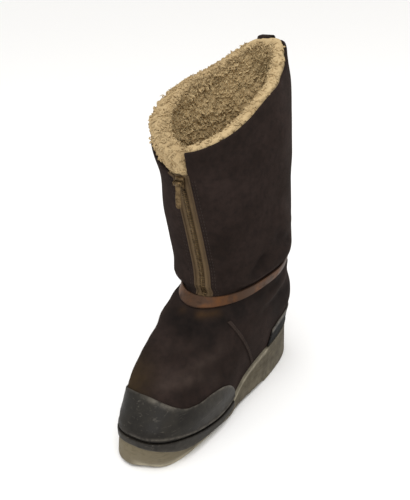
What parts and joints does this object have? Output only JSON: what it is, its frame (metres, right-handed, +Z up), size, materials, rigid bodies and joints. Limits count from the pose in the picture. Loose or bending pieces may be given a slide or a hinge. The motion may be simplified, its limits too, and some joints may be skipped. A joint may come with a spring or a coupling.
{
  "type": "flying boot",
  "caption": "Knee-high fleece-lined suede boot for the right foot, with a front zip, buckled ankle strap, rubber toe and heel guards and a wedge rubber sole.",
  "frame": {"origin": "middle of the boot's plan box, on the floor under the sole", "axes": "+Z up along the shaft, -Y towards the toe, +X towards the inner side of the foot"},
  "size_m": [0.1266, 0.3083, 0.4071],
  "materials": {
    "sole_rubber": "dusty khaki rubber, scuffed",
    "black_rubber": "worn black rubber, half matt",
    "insole_board": "flattened wool",
    "suede": "dark brown suede, matt nap",
    "fleece": "cream sheepskin pile",
    "strap_leather": "tan strap leather, worn",
    "zip_tape": "khaki brown cotton tape",
    "zip_metal": "tarnished",
    "dull_metal": "dull, oxidised"
  },
  "bodies": {
    "boot": {"outsole": "sole_rubber", "foxing": "black_rubber", "insole": "insole_board", "upper": "suede", "fleece_lining": "fleece", "toe_cap": "black_rubber", "heel_counter": "black_rubber", "side_seam_inner": "suede", "side_seam_outer": "suede", "ankle_strap": "strap_leather", "strap_tail": "strap_leather", "strap_keeper": "strap_leather", "buckle_frame": "dull_metal", "buckle_prong": "dull_metal", "zip_tape": "zip_tape", "zip_teeth": "zip_metal", "zip_slider": "zip_metal", "pull_loop": "suede"},
    "pull_tab": {"zip_pull": "zip_metal"}
  },
  "joints": [
    {"name": "pull_tab_hinge", "type": "hinge", "parent": "boot", "child": "pull_tab", "pos_m": [0.00275, -0.04718, 0.28102], "axis": [-1, 0, 0], "range_deg": [-12, 150]}
  ]
}
